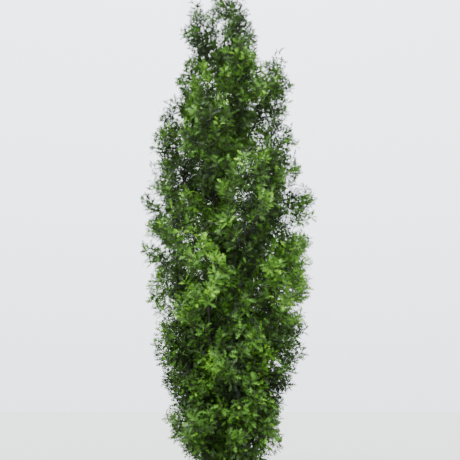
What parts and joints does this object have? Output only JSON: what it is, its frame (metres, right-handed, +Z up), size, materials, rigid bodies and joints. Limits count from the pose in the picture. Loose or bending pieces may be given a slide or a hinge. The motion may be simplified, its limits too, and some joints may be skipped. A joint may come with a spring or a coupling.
{
  "type": "columnar pin oak tree",
  "caption": "Narrow upright oak tree in summer leaf: straight trunk with flared foot, steep boughs, and flame-shaped upright masses of foliage from near the ground to a loose pointed top.",
  "frame": {"origin": "middle of the trunk's flat cut at ground level, the mount ground", "axes": "+Z straight up the trunk; the front of the tree, as seen, faces -Y, and +X is the right of the tree seen from the front"},
  "size_m": [3.4219, 3.453, 10.783],
  "materials": {
    "trunk_bark": "rough grey-brown bark with shallow furrows",
    "bough_bark": "smoother young bark, grey-brown",
    "leaves": "half-glossy summer leaf, mid green"
  },
  "bodies": {
    "root": {"trunk": "trunk_bark", "bough_lower_1": "bough_bark", "bough_lower_2": "bough_bark", "bough_lower_3": "bough_bark", "bough_lower_4": "bough_bark", "bough_lower_5": "bough_bark", "bough_waist_1": "bough_bark", "bough_waist_2": "bough_bark", "bough_waist_3": "bough_bark", "bough_waist_4": "bough_bark", "bough_waist_5": "bough_bark", "bough_middle_1": "bough_bark", "bough_middle_2": "bough_bark", "bough_middle_3": "bough_bark", "bough_middle_4": "bough_bark", "bough_middle_5": "bough_bark", "bough_shoulder_1": "bough_bark", "bough_shoulder_2": "bough_bark", "bough_shoulder_3": "bough_bark", "bough_shoulder_4": "bough_bark", "bough_shoulder_5": "bough_bark", "foliage_skirt_1": "leaves", "foliage_skirt_2": "leaves", "foliage_skirt_3": "leaves", "foliage_skirt_4": "leaves", "foliage_skirt_5": "leaves", "foliage_lower_1": "leaves", "foliage_lower_2": "leaves", "foliage_lower_3": "leaves", "foliage_lower_4": "leaves", "foliage_lower_5": "leaves", "foliage_waist_1": "leaves", "foliage_waist_2": "leaves", "foliage_waist_3": "leaves", "foliage_waist_4": "leaves", "foliage_waist_5": "leaves", "foliage_middle_1": "leaves", "foliage_middle_2": "leaves", "foliage_middle_3": "leaves", "foliage_middle_4": "leaves", "foliage_middle_5": "leaves", "foliage_shoulder_1": "leaves", "foliage_shoulder_2": "leaves", "foliage_shoulder_3": "leaves", "foliage_shoulder_4": "leaves", "foliage_shoulder_5": "leaves", "foliage_upper_1": "leaves", "foliage_upper_2": "leaves", "foliage_upper_3": "leaves", "foliage_upper_4": "leaves", "foliage_upper_5": "leaves", "foliage_crest_1": "leaves", "foliage_crest_2": "leaves", "foliage_crest_3": "leaves", "foliage_tip": "leaves"}
  },
  "joints": []
}
